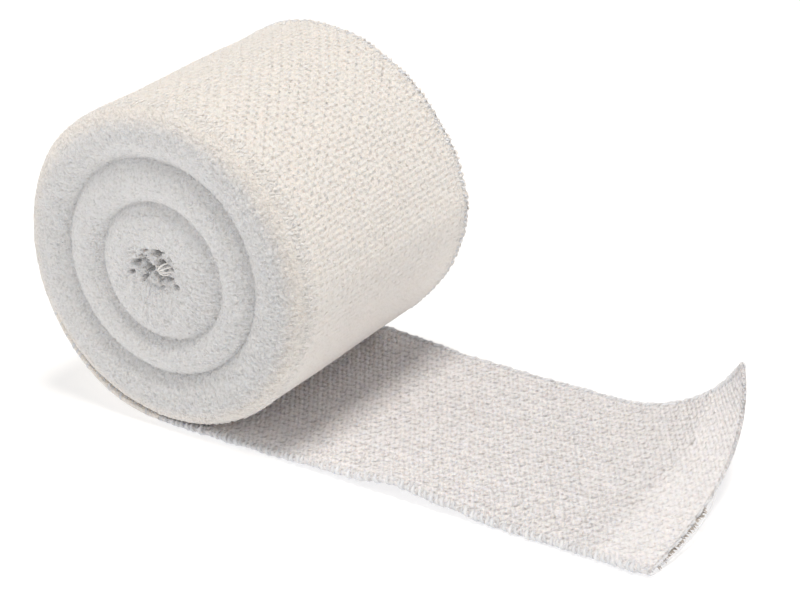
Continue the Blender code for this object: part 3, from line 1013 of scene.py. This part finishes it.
def edge_stitches(name, middle, normals, marks, seed, near_rows, stand):
    """Yarn whipped over both edges of a sheet, now fatter and now thinner. The near edge has them up to the
    row near_rows. stand is how far they stand out."""
    random = np.random.default_rng(seed)
    edges = []
    along = np.abs(np.concatenate(([0.0], np.cumsum(np.diff(marks[:, 0, 0])))))
    stations = np.arange(STITCH_PITCH / 2, along[-1], STITCH_PITCH)
    all_rows = np.clip(np.searchsorted(along, stations), 1, len(along) - 2)
    for column, inward in ((0, 1), (-1, -2)):
        rows = all_rows[all_rows < near_rows] if column == 0 else all_rows
        fat = np.clip(0.5 + lumps(along[rows], float(seed), FAT_PITCH / 2, seed), 0.0, 1.0)
        edge = middle[rows, column]
        side = unit(edge - middle[rows, inward])
        forward = unit(middle[rows + 1, column] - middle[rows - 1, column])
        normal = normals[rows, column]
        turn = np.linspace(*STITCH_TURN, len(STITCH_TAPER))[None, :, None] * np.pi
        slant = random.uniform(*STITCH_SLANT, len(rows))[:, None, None]
        reach = stand * (random.uniform(*STITCH_REACH, len(rows)) + FAT_REACH * fat)[:, None, None]
        shift = random.uniform(-STITCH_SHIFT, STITCH_SHIFT, len(rows))[:, None, None]
        paths = (
            edge[:, None]
            + side[:, None] * (reach * np.sin(turn) - STITCH_INSET)
            + normal[:, None] * STITCH_RISE * np.cos(turn)
            + forward[:, None] * (slant * (turn / np.pi - 0.5) + shift)
        )
        edges.append((paths, forward, fat))
    paths, refs, fat = [np.concatenate(parts) for parts in zip(*edges)]
    radii = (random.uniform(*STITCH_RADIUS, len(paths)) + FAT_RADIUS * fat)[:, None] * STITCH_TAPER
    tone = np.clip(random.uniform(*STITCH_TONE, len(paths)) + THIN_TONE * (1 - fat), 0, 1)
    return yarn_piece(name, [tubes(paths, radii, refs)], edge_yarn, tone)


lifted_rows = np.count_nonzero(wall_angles > WRAPS[0].angle)
wall_stitches = edge_stitches("wall_selvedge", wall_middle, wall_normals, wall_marks, 31, lifted_rows, 0.7)
end_stitches = edge_stitches("end_selvedge", end_middle, end_normals, end_marks, 32, len(end_along), 1.0)


# ---- the cut end's threads
CUT_MARGIN = 0.6
FRAYED_FROM = -28.0  # across, where yarn loops stand on the cut end
FRAYED_TO = -4.0
SHADE_STUBS_FROM = -26.5  # across, where dark stubs stand in for the shade under the cut end
SHADE_STUBS_TO = -6.0
STUB_ROOT = 0.6  # how far inside the cloth a thread end starts
STUB_TAPER = np.array([1.0, 1.0, 1.0, 0.85, 0.5])
STUB_LUCK = 0.3  # of the pitch
STUB_SWAY = 0.5
CUT_LOOP_PITCH = 2.1
CUT_LOOP_LUCK = 0.8
CUT_LOOP_SIZE = (0.55, 0.95)  # from least to most, as are the next two
CUT_LOOP_TIP = (0.2, 0.9)
CUT_LOOP_RADIUS = (0.17, 0.24)
CUT_LOOP_POINTS = 11
STRAY_POINTS = 40
STRAY_AWAY = 1.75
STRAY_RADIUS = 0.2
STRAY_WAVE = Wave(0.12, 3.0, 41)


def cut_edge(across):
    """The cut end's middle, and the directions ahead, up and across, at these places."""
    ahead = unit(end_middle[-1] - end_middle[-4])
    aside = unit(np.gradient(end_middle[-1], axis=0))
    grids = (end_middle[-1], ahead, end_normals[-1], aside)
    return [np.stack([np.interp(across, end_across, part) for part in grid.T], -1) for grid in grids]


def tubes_above_floor(paths, radii, refs, sides=6):
    paths[..., 2] = np.maximum(paths[..., 2], FLOOR + radii)
    return tubes(paths, radii, refs, sides)


def cut_stubs(random, first, last, pitch, out, drop, radius):
    """Short thread ends that stand out of the cut end between two places."""
    across = np.arange(first, last, pitch)
    across = across + random.uniform(-STUB_LUCK, STUB_LUCK, len(across)) * pitch
    edge, ahead, up, aside = [part[:, None] for part in cut_edge(across)]
    step = np.linspace(0.0, 1.0, len(STUB_TAPER))[None, :, None]
    reach = random.uniform(*out, len(across))[:, None, None]
    fall = random.uniform(*drop, len(across))[:, None, None]
    sway = random.uniform(-STUB_SWAY, STUB_SWAY, len(across))[:, None, None]
    paths = edge + ahead * (step * (reach + STUB_ROOT) - STUB_ROOT)
    paths = paths + up * fall * (0.4 + step**2) + aside * sway * step**2
    radii = random.uniform(*radius, len(across))[:, None] * STUB_TAPER
    return tubes_above_floor(paths, radii, aside[:, 0])


def cut_loops(random):
    """Small yarn loops that stand on the cut end near the near corner."""
    across = np.arange(FRAYED_FROM, FRAYED_TO, CUT_LOOP_PITCH)
    across = across + random.uniform(-CUT_LOOP_LUCK, CUT_LOOP_LUCK, len(across))
    edge, ahead, up, aside = [part[:, None] for part in cut_edge(across)]
    turn = np.linspace(*STITCH_TURN, CUT_LOOP_POINTS)[None, :, None] * np.pi
    size = random.uniform(*CUT_LOOP_SIZE, len(across))[:, None, None]
    tip = random.uniform(*CUT_LOOP_TIP, len(across))[:, None, None]
    rise = np.sin(turn) * size
    paths = edge + ahead * rise * (0.5 + tip) + up * (rise * 1.1 + 0.2) + aside * np.cos(turn) * size * 0.8
    radii = random.uniform(*CUT_LOOP_RADIUS, len(across))[:, None] * np.ones(CUT_LOOP_POINTS)
    return tubes_above_floor(paths, radii, ahead[:, 0])


def stray_yarn():
    """One yarn that came off the cut end and lies along it."""
    across = np.linspace(FRAYED_FROM + 1.0, SHADE_STUBS_TO + 5.0, STRAY_POINTS)
    edge, ahead, up, _ = cut_edge(across)
    share = np.linspace(0.0, 1.0, STRAY_POINTS)[:, None]
    away = STRAY_AWAY * np.sin(np.pi * share) ** 0.4 - 0.3 + waves(across, across, STRAY_WAVE)[:, None]
    paths = (edge + ahead * away - up * 0.2)[None]
    radii = np.full((1, STRAY_POINTS), STRAY_RADIUS)
    return tubes_above_floor(paths, radii, np.array([[0.0, 0.0, 1.0]]), sides=8)


def cut_threads():
    """The cut end's pale yarns, and dark stubs that are painted shade under the cut end."""
    random = np.random.default_rng(51)
    reach = HALF_WIDTH - CUT_MARGIN
    stubs = cut_stubs(random, -reach, reach, 1.1, out=(0.1, 0.6), drop=(-0.2, 0.35), radius=(0.17, 0.26))
    groups = [stubs, cut_loops(random), stray_yarn()]
    tone = random.uniform(0.0, 0.5, sum(len(points) for points, _ in groups))
    pale = yarn_piece("cut_yarns", groups, edge_yarn, tone)
    stubs = cut_stubs(random, SHADE_STUBS_FROM, SHADE_STUBS_TO, 0.3, out=(0.35, 1.1), drop=(-0.5, -0.1), radius=(0.13, 0.2))
    tone = random.uniform(0.0, 1.0, len(stubs[0]))
    return pale, yarn_piece("cut_shade_stubs", [stubs], shade_stub_yarn, tone)


pale_ends, shade_stubs = cut_threads()

# ---- stage
FLOOR_GAP = 0.3 * MM  # between the cloth and the floor


def build_floor():
    bpy.ops.mesh.primitive_plane_add(size=6.0, location=(0, 0, end_low.z - FLOOR_GAP))
    floor = bpy.context.object
    floor.name = "floor"
    material = bpy.data.materials.new("pale_floor")
    material.use_nodes = True
    shader = material.node_tree.nodes["Principled BSDF"]
    glow = {"Emission Color": (1.0, 1.0, 1.0, 1), "Emission Strength": 0.51}
    set_inputs(shader, {"Base Color": (0.62, 0.62, 0.62, 1), "Roughness": 0.9, **glow})
    floor.data.materials.append(material)


def aim(thing, target):
    thing.rotation_euler = (Vector(target) - thing.location).to_track_quat("-Z", "Y").to_euler()


def direction(azimuth, elevation):
    """A unit vector. Azimuth 0 is behind the roll, at +y, and 90 is at the loose end's side, at +x."""
    around, up = math.radians(azimuth), math.radians(elevation)
    return Vector((math.sin(around) * math.cos(up), math.cos(around) * math.cos(up), math.sin(up)))


LIGHTS = table(
    "Light", "name azimuth elevation spread strength colour",
    ("key", 90.0, 84.0, 20.0, 2.03, (1.0, 0.95, 0.89)),
    ("front", -150.0, 48.0, 50.0, 0.70, (1.0, 0.96, 0.91)),
    ("fill", -112.0, 18.0, 40.0, 0.15, (0.90, 0.95, 1.0)),
    ("side", 60.0, 4.0, 50.0, 0.78, (1.0, 0.96, 0.92)),
)


def build_lights():
    """Soft distant lights and a dim surrounding one."""
    world = bpy.data.worlds.new("studio")
    bpy.context.scene.world = world
    world.use_nodes = True
    set_inputs(world.node_tree.nodes["Background"], {"Color": (0.97, 0.98, 1.0, 1), "Strength": 0.23})
    for light in LIGHTS:
        sun = bpy.data.lights.new(light.name, "SUN")
        sun.angle = math.radians(light.spread)
        sun.energy = light.strength
        sun.color = light.colour
        lamp = new_object(light.name, sun)
        lamp.location = direction(light.azimuth, light.elevation)
        aim(lamp, (0, 0, 0))


CAMERA_AZIMUTH = 180.0 - 32.876
CAMERA_ELEVATION = 25.323
CAMERA_DISTANCE = 600.0
CAMERA_AIM = (7.746, 47.40)  # from the roll's axis, on the floor


def build_camera():
    camera = new_object("camera", bpy.data.cameras.new("camera"))
    bpy.context.scene.camera = camera
    camera.data.sensor_width = 36.0
    camera.data.lens = 116.07
    camera.data.clip_start = 0.05
    camera.data.clip_end = 20.0
    target = Vector(place((*CAMERA_AIM, -AXIS_Z)))
    camera.location = target + direction(CAMERA_AZIMUTH, CAMERA_ELEVATION) * CAMERA_DISTANCE * MM
    aim(camera, target)


build_floor()
build_lights()
build_camera()
bpy.context.scene.view_settings.view_transform = "Standard"

# ---- what each piece is
roll_pieces = (wall, near_face, far_face, near_loops, far_loops, core_yarns, wall_stitches)
end_pieces = (end, end_stitches, pale_ends, shade_stubs)
for piece in roll_pieces + end_pieces:
    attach(piece, "root")
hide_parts("wound_roll")
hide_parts("loose_end")
